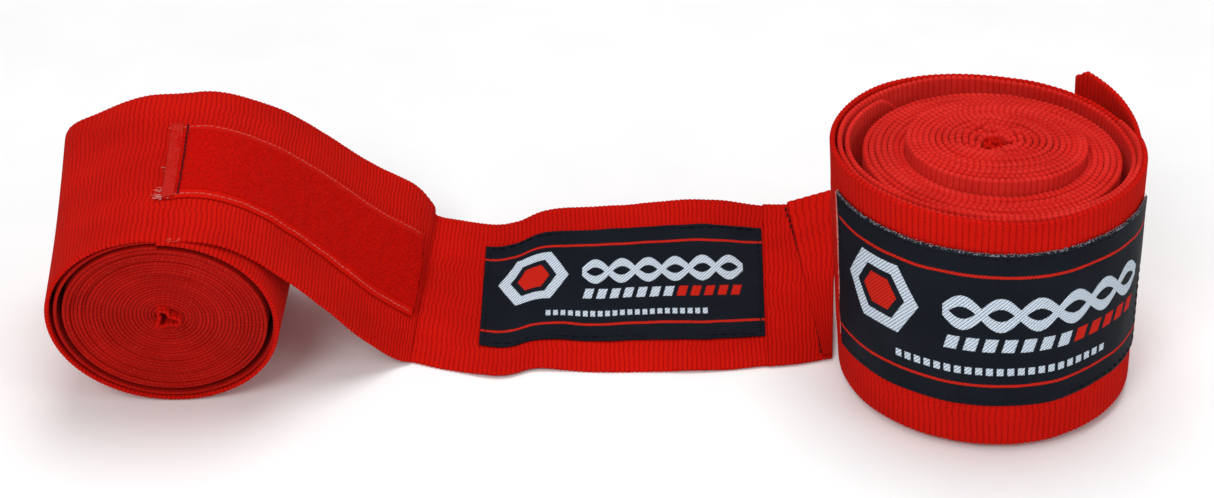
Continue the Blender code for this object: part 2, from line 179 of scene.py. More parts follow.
class Strip:
    """A strip of cloth between two edges, sampled at even steps along its middle."""

    def __init__(self, near, far, step):
        near, far = np.asarray(near, float), np.asarray(far, float)
        middle = (near + far) / 2
        along = np.concatenate([[0.0], np.cumsum(np.linalg.norm(np.diff(middle, axis=0), axis=1))])
        self.length = along[-1]
        self.width = float(np.linalg.norm(far[0] - near[0]))
        self.s = np.linspace(0.0, self.length, max(2, round(self.length / step) + 1))
        self.near = np.stack([np.interp(self.s, along, near[:, k]) for k in range(3)], axis=1)
        self.far = np.stack([np.interp(self.s, along, far[:, k]) for k in range(3)], axis=1)
        middle = (self.near + self.far) / 2
        self.out = unit(np.cross(np.gradient(middle, axis=0), self.far - self.near))

    def at(self, s, v, h):
        """Points of the strip; s, v and h are arrays of one shape."""
        s, v, h = np.broadcast_arrays(np.asarray(s, float), v, h)
        edges = []
        for table in (self.near, self.far, self.out):
            edges.append(np.stack([np.interp(s, self.s, table[:, k]) for k in range(3)], axis=-1))
        near, far, out = edges
        return near + (far - near) * (v / self.width)[..., None] + out * h[..., None]

    def part(self, start, end):
        """A stretch of this strip as a strip of its own, with its own s from 0."""
        made = Strip.__new__(Strip)
        count = max(2, round((end - start) / (self.s[1] - self.s[0])) + 1)
        s = np.linspace(start, end, count)
        made.near, made.far, made.out = (
            np.stack([np.interp(s, self.s, table[:, k]) for k in range(3)], axis=1)
            for table in (self.near, self.far, self.out)
        )
        made.out = unit(made.out)
        made.s, made.length, made.width = s - start, end - start, self.width
        return made


def section(width, thick, columns, rim, blunt):
    """The outline of a strip cut across, as v, h and how far round the edge each point is.

    blunt is how far its edges bulge, as a share of a half circle."""
    bend = thick / 2
    flat = np.linspace(bend, width - bend, columns)
    turn = np.radians(np.linspace(90, -90, rim + 2)[1:-1])
    swell = bend * blunt * np.cos(turn)
    v = np.concatenate([flat, width - bend + swell, flat[::-1], bend - swell])
    h = np.concatenate([flat * 0 + bend, bend * np.sin(turn), flat * 0 - bend, -bend * np.sin(turn)])
    edge = np.concatenate([flat * 0, np.cos(turn), flat * 0, -np.cos(turn)])
    return v, h, edge


def make_piece(name, points, faces, u, v, material):
    """A mesh object from points in millimetres; u and v are each point's place on its cloth."""
    mesh = bpy.data.meshes.new(name)
    mesh.from_pydata(((points - PAIR_MIDDLE) * MM).tolist(), [], faces)
    corner = np.zeros(len(mesh.loops), int)
    mesh.loops.foreach_get("vertex_index", corner)
    cloth_map = mesh.uv_layers.new(name="cloth")
    place = np.stack([u[corner], v[corner]], axis=1) * 0.01
    cloth_map.data.foreach_set("uv", place.ravel())
    mesh.materials.append(material)
    mesh.shade_smooth()
    made = bpy.data.objects.new(name, mesh)
    bpy.context.scene.collection.objects.link(made)
    return made


def ring_faces(rows, columns, start=0):
    """Faces of a tube of rows rings with columns points each, with both ends closed."""
    i = np.arange(rows - 1)[:, None] * columns
    k = np.arange(columns)[None, :]
    m = (k + 1) % columns
    quads = np.stack([i + k, i + columns + k, i + columns + m, i + m], axis=-1).reshape(-1, 4) + start
    faces = quads.tolist()
    faces.append((np.arange(columns) + start).tolist())
    faces.append(((rows - 1) * columns + np.arange(columns)[::-1] + start).tolist())
    return faces


def ribbon(name, strip, thick, columns, material, rim=3, base=0.0, low=0.0, high=None, beads=0.12,
           rib=LEFT_RIB, blunt=1.0, lift=None, slide=None, narrow=None):
    """A closed ribbon of cloth on a strip, from low to high across it, with beaded edges.

    lift(s, v) is added to its height and slide(s) moves it across. narrow(s) draws in its edges."""
    high = strip.width if high is None else high
    v, h, edge = section(high - low, thick, columns, rim, blunt)
    s = strip.s[:, None]
    bead = np.abs(np.sin(np.pi * s / rib)) - 0.5
    across = low + v[None, :] + edge[None, :] * bead * beads * 2
    height = base + h[None, :] * (1 + np.abs(edge[None, :]) * bead * beads * 3)
    if narrow is not None:
        middle = (low + high) / 2
        across = middle + (across - middle) * (1 - 2 * narrow(s) / (high - low))
    if lift is not None:
        height = height + lift(s, across)
    if slide is not None:
        across = across + slide(s)
    points = strip.at(s, across, height)
    rows, count = across.shape
    u = np.broadcast_to(s, across.shape)
    place = np.broadcast_to(v[None, :], across.shape)
    faces = ring_faces(rows, count)
    return make_piece(name, points.reshape(-1, 3), faces, u.ravel(), place.ravel(), material)


def stitches(name, strip, path, pitch, long, thick, base, material, wobble=0.08, lean=0.0, lift=None):
    """A row of single stitches on a strip, along a path of (s, v) points."""
    path = np.asarray(path, float)
    along = np.concatenate([[0.0], np.cumsum(np.linalg.norm(np.diff(path, axis=0), axis=1))])
    centres = np.arange(pitch / 2, along[-1], pitch)
    t = np.array((-1.0, -0.8, -0.35, 0.35, 0.8, 1.0))
    body = np.sqrt(np.clip(1 - t**4, 0.06, 1))
    turn = np.arange(6) * math.pi / 3
    seed = np.random.default_rng(len(name) + len(centres))
    points, faces = [], []
    for k, centre in enumerate(centres):
        place = centre + seed.uniform(-1, 1) * wobble
        reach = place + t * long / 2 * seed.uniform(0.85, 1.1)
        s = np.interp(reach, along, path[:, 0])
        v = np.interp(reach, along, path[:, 1])
        run = unit(np.array([[s[-1] - s[0], v[-1] - v[0]]]) + 1e-9)[0]
        side = np.array((-run[1], run[0]))
        shift = t * lean + seed.uniform(-1, 1) * wobble
        out = thick / 2 * body
        ds = side[0] * (shift[:, None] + out[:, None] * np.cos(turn))
        dv = side[1] * (shift[:, None] + out[:, None] * np.cos(turn))
        dh = base + thick * 0.3 * body[:, None] + out[:, None] * np.sin(turn)
        if lift is not None:
            dh = dh + lift(s[:, None] + ds, v[:, None] + dv)
        points.append(strip.at(s[:, None] + ds, v[:, None] + dv, dh).reshape(-1, 3))
        faces += ring_faces(6, 6, k * 36)
    points = np.vstack(points)
    number = np.arange(len(points)) / 36.0
    return make_piece(name, points, faces, number * 3.1, number * 0.0, material)


def threads(name, paths, thick, material):
    """Loose threads as thin tubes through lists of points."""
    points, faces = [], []
    start = 0
    for path in paths:
        line = smooth_rows(path, 6)
        run = unit(np.gradient(line, axis=0))
        side = unit(np.cross(run, np.array((0.31, 0.17, 0.93))))
        other = np.cross(run, side)
        turn = np.arange(5) * math.tau / 5
        radius = thick / 2 * np.linspace(1.0, 0.6, len(line))[:, None, None]
        ring = np.cos(turn)[None, :, None] * side[:, None] + np.sin(turn)[None, :, None] * other[:, None]
        points.append((line[:, None] + ring * radius).reshape(-1, 3))
        faces += ring_faces(len(line), 5, start)
        start += len(line) * 5
    points = np.vstack(points)
    number = np.arange(len(points)) * 0.01
    return make_piece(name, points, faces, number, number * 0.0, material)


def settle(piece, body, slot, *nodes):
    """Say what a piece moves with and which solids it stands for; slot, which names a finish, is not used.
    """
    if body:
        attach(piece, body)
    if nodes:
        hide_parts(*nodes)
    return piece


# ---- Materials --------------------------------------------------------------------------------------
class Field:
    """A number at every point of a surface, worked out by nodes."""

    def __init__(self, tree, socket):
        self.tree, self.socket = tree, socket

    def math(self, operation, *others):
        node = self.tree.nodes.new("ShaderNodeMath")
        node.operation = operation
        for slot, value in enumerate((self, *others)):
            if isinstance(value, Field):
                self.tree.links.new(value.socket, node.inputs[slot])
            else:
                node.inputs[slot].default_value = value
        return Field(self.tree, node.outputs[0])

    __add__ = partialmethod(math, "ADD")
    __sub__ = partialmethod(math, "SUBTRACT")
    __mul__ = partialmethod(math, "MULTIPLY")
    __truediv__ = partialmethod(math, "DIVIDE")
    __pow__ = partialmethod(math, "POWER")
    sin = partialmethod(math, "SINE")
    abs = partialmethod(math, "ABSOLUTE")
    fract = partialmethod(math, "FRACT")
    floor = partialmethod(math, "FLOOR")
    most = partialmethod(math, "MAXIMUM")

    def ramp(self, low, high, start=0.0, end=1.0):
        """start below low, end above high, and a smooth change between them."""
        node = self.tree.nodes.new("ShaderNodeMapRange")
        node.interpolation_type = "SMOOTHSTEP"
        self.tree.links.new(self.socket, node.inputs["Value"])
        for name, value in (("From Min", low), ("From Max", high), ("To Min", start), ("To Max", end)):
            node.inputs[name].default_value = value
        return Field(self.tree, node.outputs["Result"])


class Look:
    """A material being made: its Principled shader and the tools to drive it."""

    def __init__(self, name, roughness, specular=0.3, sheen=0.0, sheen_tint=(1, 1, 1), sheen_roughness=0.4):
        self.material = bpy.data.materials.new(name)
        self.material.use_nodes = True
        self.tree = self.material.node_tree
        self.shader = self.tree.nodes["Principled BSDF"]
        self.shader.inputs["Roughness"].default_value = roughness
        self.shader.inputs["Specular IOR Level"].default_value = specular
        self.shader.inputs["Sheen Weight"].default_value = sheen
        self.shader.inputs["Sheen Roughness"].default_value = sheen_roughness
        self.shader.inputs["Sheen Tint"].default_value = (*sheen_tint, 1.0)

    def cloth_place(self):
        """s and v of the cloth, in millimetres."""
        node = self.tree.nodes.new("ShaderNodeUVMap")
        node.uv_map = "cloth"
        apart = self.tree.nodes.new("ShaderNodeSeparateXYZ")
        self.tree.links.new(node.outputs["UV"], apart.inputs["Vector"])
        return Field(self.tree, apart.outputs["X"]) * 100.0, Field(self.tree, apart.outputs["Y"]) * 100.0

    def noise(self, x, y, scale, detail=2.0):
        """Noise over two fields, from 0 to 1, with features of about 1/scale."""
        join = self.tree.nodes.new("ShaderNodeCombineXYZ")
        self.tree.links.new(x.socket, join.inputs["X"])
        self.tree.links.new(y.socket, join.inputs["Y"])
        node = self.tree.nodes.new("ShaderNodeTexNoise")
        self.tree.links.new(join.outputs["Vector"], node.inputs["Vector"])
        node.inputs["Scale"].default_value = scale
        node.inputs["Detail"].default_value = detail
        return Field(self.tree, node.outputs["Fac"])

    def space_noise(self, scale, detail=2.0):
        """Noise through space, from 0 to 1; scale is per metre."""
        place = self.tree.nodes.new("ShaderNodeTexCoord")
        node = self.tree.nodes.new("ShaderNodeTexNoise")
        self.tree.links.new(place.outputs["Object"], node.inputs["Vector"])
        node.inputs["Scale"].default_value = scale
        node.inputs["Detail"].default_value = detail
        return Field(self.tree, node.outputs["Fac"])

    def mix(self, share, first, second):
        """first where share is 0 and second where it is 1; each is a colour or a colour socket."""
        node = self.tree.nodes.new("ShaderNodeMix")
        node.data_type = "RGBA"
        if isinstance(share, Field):
            self.tree.links.new(share.socket, node.inputs[0])
        else:
            node.inputs[0].default_value = share
        for slot, colour in ((6, first), (7, second)):
            if isinstance(colour, tuple):
                node.inputs[slot].default_value = (*colour, 1.0)
            else:
                self.tree.links.new(colour, node.inputs[slot])
        return node.outputs[2]

    def colour(self, socket):
        self.tree.links.new(socket, self.shader.inputs["Base Color"])

    def roughness(self, field):
        self.tree.links.new(field.socket, self.shader.inputs["Roughness"])

    def bump(self, height, strength=1.0):
        """Height in millimetres."""
        node = self.tree.nodes.new("ShaderNodeBump")
        node.inputs["Distance"].default_value = MM
        node.inputs["Strength"].default_value = strength
        self.tree.links.new(height.socket, node.inputs["Height"])
        self.tree.links.new(node.outputs["Normal"], self.shader.inputs["Normal"])


RED_RIDGE = (0.570, 0.0070, 0.0030)
RED_DIM = (0.480, 0.0055, 0.0025)
# The darkest red is painted shade, put in the grooves between ribs, stitches and woven threads.
RED_PAINTED_SHADE = (0.270, 0.0020, 0.0012)
# Pale pink fibres; on the beads of wound edges they also paint a highlight.
RED_FIBRE_AND_HIGHLIGHT = (0.720, 0.0700, 0.0550)
TAPE_RED = (0.600, 0.0045, 0.0020)
TAPE_DARK = (0.420, 0.0035, 0.0020)
BLACK = (0.0030, 0.0042, 0.0070)
BLACK_LIGHT = (0.0150, 0.0190, 0.0270)
WOVEN_WHITE = (0.680, 0.780, 0.880)
WOVEN_RED = (0.560, 0.0180, 0.0090)


def knit_look(name, width, rib, rib_depth, fuzz, contrast, sway_size):
    """Ribbed elastic knit: wavy ribs across the strip, chain stitches along each rib, fibres, and painted
    shade in the grooves between them.
    """
    look = Look(name, 0.92, specular=0.02, sheen=0.03, sheen_tint=(1.0, 0.18, 0.12), sheen_roughness=0.45)
    s, v = look.cloth_place()
    inside = v.ramp(0.5, 8.0) * (v * -1.0 + width).ramp(0.5, 8.0)
    broad = (look.noise(s * 0.35, v, 0.075, 1.0) - 0.5) * sway_size
    fine = (look.noise(s * 0.3, v, 0.36, 1.0) - 0.5) * 1.2
    phase = (s + (broad + fine) * inside) / rib
    ridge = (phase * math.pi).sin().abs()
    groove = ridge.ramp(0.0, 0.62, 1.0, 0.0)
    chain = ((phase.floor() * 0.37 + v / 0.72 + ridge * 0.3) * math.pi).sin().abs()
    fibre = look.noise(s, v, 5.5, 3.0)
    patch = look.noise(s * 0.5, v, 0.06, 3.0)
    bump_and_groove_shade_noise = look.noise(s, v, 0.9, 2.0)
    groove_shade_patch = look.noise(s * 0.7, v, 0.22, 2.0)
    shade = look.mix(patch.ramp(0.3, 0.7), RED_DIM, RED_RIDGE)
    # Painted shade in the grooves between the ribs, stronger in some patches than in others.
    groove_shade_strength = bump_and_groove_shade_noise.ramp(0.25, 0.7) * 0.4 + groove_shade_patch.ramp(0.3, 0.7) * 0.4 + 0.15
    shade = look.mix(groove * groove_shade_strength * contrast, shade, RED_PAINTED_SHADE)
    # Painted shade between the chain stitches.
    shade = look.mix(chain.ramp(0.0, 0.5, 0.28, 0.0), shade, RED_PAINTED_SHADE)
    shade = look.mix(fibre.ramp(0.52, 0.8) * fuzz, shade, RED_FIBRE_AND_HIGHLIGHT)
    look.colour(shade)
    look.bump(ridge**0.7 * rib_depth + chain * 0.05 + fibre * 0.10 + bump_and_groove_shade_noise * 0.06)
    return look.material


def wound_look(name, rib, deep, plain, light, bead, fibres):
    """The edges of wound turns: painted shade between the turns and between the beads of each, and pale
    fibres that paint a highlight on the beads.
    """
    look = Look(name, 0.92, specular=0.03, sheen=0.06, sheen_tint=(1.0, 0.25, 0.2), sheen_roughness=0.45)
    s, v = look.cloth_place()
    loops = (s / rib * math.pi).sin().abs()
    fibre = look.noise(s, v, 4.5, 3.0)
    patch = look.noise(s * 0.4, v, 0.12, 3.0)
    rise = look.space_noise(90.0, 2.0)
    shade = look.mix(patch.ramp(0.3, 0.7), plain, light)
    shade = look.mix(rise.ramp(0.35, 0.65) * 0.3, shade, deep)
    # Painted shade: darker down the sides of each turn, into the gaps between turns.
    shade = look.mix(v.ramp(0.04, 0.40) * 0.45, shade, deep)
    # Painted shade between the beads of each turn.
    shade = look.mix(loops.ramp(0.0, 0.5, bead, 0.0), shade, deep)
    # Pale fibres on the tops of the beads, partly fibre colour and partly a painted highlight.
    shade = look.mix(fibre.ramp(0.50, 0.78) * loops.ramp(0.3, 0.9) * fibres, shade, RED_FIBRE_AND_HIGHLIGHT)
    look.colour(shade)
    look.bump(fibre * 0.10 + loops * bead * 0.15)
    return look.material


def tape_look(name, width):
    """Loop tape: a napped middle between two flat woven edges."""
    look = Look(name, 0.95, specular=0.02, sheen=0.06, sheen_tint=(1.0, 0.18, 0.12), sheen_roughness=0.35)
    s, v = look.cloth_place()
    nap = look.noise(s, v, 1.6, 5.0)
    curl = look.noise(s, v * 0.8, 0.45, 3.0)
    fine = look.noise(s, v, 6.0, 2.0)
    border = (v - width / 2).abs().ramp(width / 2 - 2.4, width / 2 - 1.9)
    shade = look.mix(nap.ramp(0.3, 0.75), TAPE_DARK, TAPE_RED)
    shade = look.mix(curl.ramp(0.45, 0.8) * 0.35, shade, RED_RIDGE)
    weave = ((s / 0.55) * math.pi).sin().abs()
    shade = look.mix(border, shade, RED_RIDGE)
    # Painted shade between the threads of the woven edges.
    shade = look.mix(border * weave.ramp(0.0, 0.5, 0.4, 0.0), shade, RED_PAINTED_SHADE)
    look.colour(shade)
    look.bump((nap * 0.5 + curl * 0.35 + fine * 0.15) * (border * -0.8 + 1.0) + weave * border * 0.08)
    return look.material


def thread_look(name, dark, light, roughness):
    """Twisted sewing thread."""
    look = Look(name, roughness, specular=0.04, sheen=0.03, sheen_tint=light)
    grain = look.space_noise(3500.0, 3.0)
    patch = look.space_noise(260.0, 2.0)
    shade = look.mix(grain.ramp(0.3, 0.7), dark, light)
    shade = look.mix(patch.ramp(0.35, 0.75) * 0.35, shade, dark)
    look.colour(shade)
    look.bump(grain * 0.12)
    return look.material


def label_look(name, size, pale_edges):
    """A woven label: black twill, two red lines, a plain emblem, a braid, and rows of dashes."""
    long, high = size
    look = Look(name, 0.65, specular=0.03)
    s, v = look.cloth_place()
    uneven = (look.noise(s, v, 1.3, 2.0) - 0.5) * 0.22
    step = (look.noise(s, v, 5.0, 1.0) - 0.5) * 0.14
    s, v = s + step, v + uneven + step
    twill = ((s * 0.78 + v) / 0.52 * math.pi).sin().abs()
    cross = ((s - v * 0.9) / 0.80 * math.pi).sin().abs()
    fine = look.noise(s, v, 3.5, 2.0)
    patch = look.noise(s, v, 0.08, 2.0)

    def inside(distance, soft=0.09):
        """1 where distance is below 0, in millimetres."""
        return distance.ramp(-soft, soft, 1.0, 0.0)

    lines = inside((v - high * 0.14).abs() - 0.34).most(inside((v - high * 0.855).abs() - 0.34))

    # The emblem is one hexagon in another.
    x = (s - long * 0.185).abs()
    y = (v - high * 0.585).abs()
    hexagon = y.most(x * 0.866 + y * 0.5)
    size_out = high * 0.215
    emblem_white = inside(hexagon - size_out) * inside(hexagon * -1.0 + size_out * 0.66)
    emblem_red = inside(hexagon - size_out * 0.46)

    # The braid is two waves that cross.
    wave = ((s - long * 0.36) / (long * 0.094) * math.pi).sin() * (high * 0.075)
    rail = v - high * 0.61
    swell = 0.036 * high
    braid = inside((rail - wave).abs() - swell).most(inside((rail + wave).abs() - swell))
    braid = braid * inside((s - long * 0.643).abs() - long * 0.283)

    dash = (s - long * 0.36 - (v - high * 0.41) * 0.25) / (long * 0.047)
    dashes = inside((dash.fract() - 0.5).abs() * (long * 0.047) - long * 0.0155)
    dashes = dashes * inside((v - high * 0.41).abs() - high * 0.043)
    dashes_white = dashes * inside((dash - 3.5).abs() - 3.5, 0.02)
    dashes_red = dashes * inside((dash - 9.5).abs() - 2.5, 0.02)

    dot = (s - long * 0.23) / (long * 0.026)
    dots = inside((dot.fract() - 0.5).abs() * (long * 0.026) - long * 0.0085)
    dots = dots * inside((v - high * 0.235).abs() - high * 0.024) * inside((dot - 11.0).abs() - 11.0, 0.02)

    white = emblem_white.most(braid).most(dashes_white).most(dots)
    red = lines.most(emblem_red).most(dashes_red)
    ground = look.mix(twill.ramp(0.2, 0.9) * (fine * 0.6 + 0.4), BLACK, BLACK_LIGHT)
    ground = look.mix(patch.ramp(0.3, 0.7) * 0.4, ground, BLACK)
    mesh = cross.ramp(0.25, 0.6) * twill.ramp(0.1, 0.5)
    white_yarn = look.mix(mesh * 0.85 + 0.15, (0.11, 0.14, 0.19), WOVEN_WHITE)
    red_yarn = look.mix(cross.ramp(0.1, 0.6), (0.30, 0.006, 0.004), WOVEN_RED)
    shade = look.mix(white, ground, white_yarn)
    shade = look.mix(red, shade, red_yarn)
    if pale_edges:
        fray = look.noise(s, v, 2.6, 2.0)
        edge = (v + (fray - 0.5) * 0.8).ramp(high - 0.45, high - 0.10)
        shade = look.mix(edge * fray.ramp(0.45, 0.65) * 0.7, shade, (0.34, 0.32, 0.36))
    look.colour(shade)
    look.bump(twill * 0.05 + fine * 0.03 + white * 0.10 + red * 0.08 + white.most(red) * cross * 0.05)
    look.roughness(white.most(red) * 0.12 + fine * 0.12 + 0.50)
    return look.material


knit_left = knit_look("stretched_knit", LEFT_WIDTH, LEFT_RIB, 0.20, 0.30, 0.9, 2.0)
knit_right = knit_look("relaxed_knit", RIGHT_WIDTH, RIGHT_RIB, 0.22, 0.40, 0.8, 1.6)
# The wound edges on top of the standing roll are painted lighter than its cloth: painted light, where they
# face up to the lamps.
knit_right_edge_painted_light = wound_look(
    "wound_relaxed_knit_painted_light", RIGHT_RIB,
    (0.36, 0.0055, 0.0040), (0.80, 0.0220, 0.0150), (0.90, 0.0420, 0.0310), 0.75, 0.9,
)
# The wound face of the lying roll is painted darker than its cloth: painted shade, where it turns away from
# the top light.
knit_left_edge_painted_shade = wound_look(
    "wound_knit_painted_shade", LEFT_RIB,
    (0.20, 0.0028, 0.0018), (0.36, 0.0050, 0.0030), (0.45, 0.0078, 0.0042), 0.20, 0.3,
)
loop_tape = tape_look("loop_tape", TAPE_WIDTH)
tape_edge = thread_look("tape_edge", (0.36, 0.007, 0.005), (0.52, 0.022, 0.015), 0.8)
red_thread = thread_look("red_thread", (0.42, 0.010, 0.007), (0.74, 0.075, 0.055), 0.6)
soft_thread = thread_look("soft_thread", (0.50, 0.020, 0.014), (0.66, 0.120, 0.095), 0.7)
pale_thread = thread_look("pale_thread", (0.56, 0.080, 0.070), (0.72, 0.360, 0.330), 0.7)
dark_thread = thread_look("dark_thread", (0.030, 0.004, 0.005), (0.110, 0.010, 0.012), 0.7)
black_thread = thread_look("black_thread", (0.003, 0.004, 0.006), (0.014, 0.016, 0.022), 0.5)
grey_thread = thread_look("grey_thread", (0.06, 0.05, 0.06), (0.40, 0.37, 0.40), 0.7)
label_left_look = label_look("woven_label_left", LABEL_LEFT, False)
label_right_look = label_look("woven_label_right", LABEL_RIGHT, True)


# ---- Left wrap: edges ------------------------------------------------------------------------------
cone = math.atan((LEFT_COIL_FAR - LEFT_COIL_NEAR) / LEFT_WIDTH)
turned = math.radians(LEFT_FACE_TURN)
left_direction = np.array(
    (-math.sin(turned) * math.cos(cone), math.cos(turned) * math.cos(cone), math.sin(cone))
)
left_height = (LEFT_COIL_NEAR + TURN_GAP + CLOTH / 2) * math.cos(cone) + CLOTH / 2
left_near = np.array((LEFT_CENTRE_X, LEFT_FACE_Y, left_height))
left_side = unit(np.cross(left_direction, np.array((0.0, 0.0, 1.0))))
left_rise = np.cross(left_side, left_direction)


def left_edges(angle, near_radius, far_radius):
    """Near and far edge points on the lying roll at these angles (degrees) and radii."""
    turn = np.radians(np.asarray(angle, float))[:, None]
    spoke = left_side * np.cos(turn) + left_rise * np.sin(turn)
    tip = LEFT_SLANT * np.sin(turn) / (LEFT_COIL_NEAR + 1.0)
    near = left_near + spoke * near_radius[:, None] - left_direction * tip * near_radius[:, None]
    far = left_near + left_direction * LEFT_WIDTH + spoke * far_radius[:, None]
    return near, far - left_direction * tip * near_radius[:, None]


def edge_rows(rows):
    """The near and far edges that rows of (x, y, z, rise, turn) describe."""
    rows = np.asarray(rows, float)
    rise, turn = np.radians(rows[:, 3]), np.radians(rows[:, 4])
    across = np.stack([np.cos(rise) * np.sin(turn), np.cos(rise) * np.cos(turn), np.sin(rise)], axis=1)
    return rows[:, :3], rows[:, :3] + across * LEFT_WIDTH


def left_radii(angle):
    """Radii of the outer turns at the two edges; angles above the first lie deeper in the roll."""
    first = LEFT_TURN_SPAN[0]
    deep = np.ceil(np.maximum(angle - first, 0.0) / 360)
    place = angle - 360 * deep
    bulge = LEFT_BULGE * np.clip(1 - ((place - LEFT_BULGE_AT) / LEFT_BULGE_HALF) ** 2, 0, 1) ** 2
    layer = deep + smooth_step(place, -60.0, first)
    stand = TURN_GAP + CLOTH / 2 + bulge * (deep == 0) - LEFT_LAYER * layer
    # The far edge juts out at its upper left and is drawn in below that.
    jut = 2.4 * np.exp(-(((place + 216) / 12) ** 2)) - 1.9 * np.exp(-(((place + 178) / 22) ** 2))
    return LEFT_COIL_NEAR + stand, LEFT_COIL_FAR + stand + jut * (deep == 0)


LEFT_START = 88.0  # degrees, under the tail, where the outer cloth takes over from the inner turn
angles = np.linspace(LEFT_START, LEFT_TURN_SPAN[1], 111)
turn_radii = left_radii(angles)
turn_near, turn_far = left_edges(angles, *turn_radii)
tail_near, tail_far = edge_rows(TAIL + PANEL)
joined = smooth_rows(
    np.hstack([np.vstack([turn_near[-1:], tail_near]), np.vstack([turn_far[-1:], tail_far])]), 14
)[1:]
left_cloth_strip = Strip(np.vstack([turn_near, joined[:, :3]]), np.vstack([turn_far, joined[:, 3:]]), 0.32)
joined = smooth_rows(np.hstack(edge_rows((PANEL[-1], *END_TAB))), 14)
left_end_strip = Strip(joined[:, :3], joined[:, 3:], 0.3)
middle_line = (left_cloth_strip.near + left_cloth_strip.far) / 2
crease_s = float(np.interp(-37.0, middle_line[-600:, 0], left_cloth_strip.s[-600:]))

# ---- Left wrap: pieces -------------------------------------------------------------------------------
patch_end = crease_s - 1.5
patch_start = patch_end - LEFT_PATCH_LENGTH
patch_low = (LEFT_WIDTH - TAPE_WIDTH) / 2


def left_cloth_lift(s, v):
    """Soft unevenness of the laid-out strip, with a shallow fold by the patch's end."""
    free = smooth_step(s, patch_start - 25, patch_start)
    soft = wander_2d(s, v * 0.8, 11.0, 3) * 0.35 + wander_2d(s, v, 4.5, 4) * 0.10
    fold = np.exp(-(((s - patch_start - 2.0 - (v - 12) * 0.06) / 1.1) ** 2)) * smooth_step(v, 14.0, 9.0)
    return soft * free - fold * 0.5


left_cloth = ribbon(
    "left_strip_cloth", left_cloth_strip, LEFT_CLOTH, 44, knit_left, lift=left_cloth_lift,
    narrow=lambda s: wander(s, 9.0, 11) * 0.35 * smooth_step(s, patch_start - 30, patch_start),
)
settle(left_cloth, None, "red_cloth", "left_outer_turn_and_tail", "left_label_panel")

left_end = ribbon("left_end_cloth", left_end_strip, LEFT_CLOTH, 44, knit_left)
settle(left_end, None, "red_cloth", "left_end_tab")


def left_slide(s, radius, seed):
    """How far each turn is pushed into the roll: a shallow dish with a few deeper grooves."""
    dish = 2.0 * (1 - (radius / LEFT_COIL_NEAR) ** 2)
    turn = wander(radius, 0.8, 21) * 0.10 + wander(radius, 3.0, 22) * 0.25
    groove = 0.0
    for k, (place, deep) in enumerate(LEFT_GROOVES):
        near_it = np.exp(-(((radius - place) / 0.42) ** 2))
        groove = groove + deep * near_it * (0.7 + 0.3 * wander(s, 25.0, 31 + k))
    return dish + turn + groove + wander(s, 7.0, seed) * 0.05


# Inside the outer turn lies one that stays with it, and inside that the wound coil that can turn.
angles = np.linspace(LEFT_START + 354.0, LEFT_START, 151)
inner_near = turn_radii[0][0] - 0.5 * (angles - LEFT_START) / 360
inner_far = turn_radii[1][0] - 1.4 * (angles - LEFT_START) / 360
left_inner_strip = Strip(*left_edges(angles, inner_near, inner_far), 0.33)
left_inner = ribbon(
    "left_inner_turn", left_inner_strip, LEFT_TURN_PITCH * 0.88, 2, knit_left_edge_painted_shade, beads=0.04, blunt=0.6,
    slide=lambda s: left_slide(s, 21.8 + s * 0.0, 24) + 0.1,
)
settle(left_inner, "left_strip", "red_cloth")

coil_rim = LEFT_COIL_NEAR - 1.6
left_turns = (coil_rim - CORE) / LEFT_TURN_PITCH
sweep = np.linspace(0.0, 1.0, int(left_turns * 110))
coil_angle = LEFT_START + 360.0 * left_turns * (1 - sweep)
loose = 1 - smooth_step(sweep, 0.0, 0.25)
oval = 1 + loose * (
    0.035 * np.cos(np.radians(2 * coil_angle + 40)) + 0.03 * np.cos(np.radians(3 * coil_angle))
)
near_radius = CORE + (coil_rim - CORE) * sweep
far_radius = CORE + (coil_rim + 1.8 - CORE) * sweep
left_coil_strip = Strip(*left_edges(coil_angle, near_radius * oval, far_radius), 0.33)


def left_coil_slide(s):
    radius = np.sqrt(CORE**2 + (coil_rim**2 - CORE**2) * s / left_coil_strip.length)
    return left_slide(s, radius, 23)


left_coil = ribbon(
    "left_wound_turns", left_coil_strip, LEFT_TURN_PITCH * 0.99, 2, knit_left_edge_painted_shade, beads=0.05, blunt=0.8,
    slide=left_coil_slide,
)
settle(left_coil, "left_coil", "red_cloth", "left_wound_coil")

# ---- Left wrap: loop tape, label, seams -------------------------------------------------------------
face = LEFT_CLOTH / 2


def nap(s, v):
    """The uneven pile of loop tape, flat along its two edges."""
    border = smooth_step(np.abs(v - LEFT_WIDTH / 2), TAPE_WIDTH / 2 - 1.6, TAPE_WIDTH / 2 - 2.6)
    pile = chance.uniform(-0.10, 0.16, np.broadcast_shapes(np.shape(s), np.shape(v)))
    groove = 1 - 0.9 * np.exp(-(((s - 3.1) / 0.6) ** 2))
    return border * groove * (0.45 + pile + wander_2d(s, v, 2.5, 41) * 0.12)


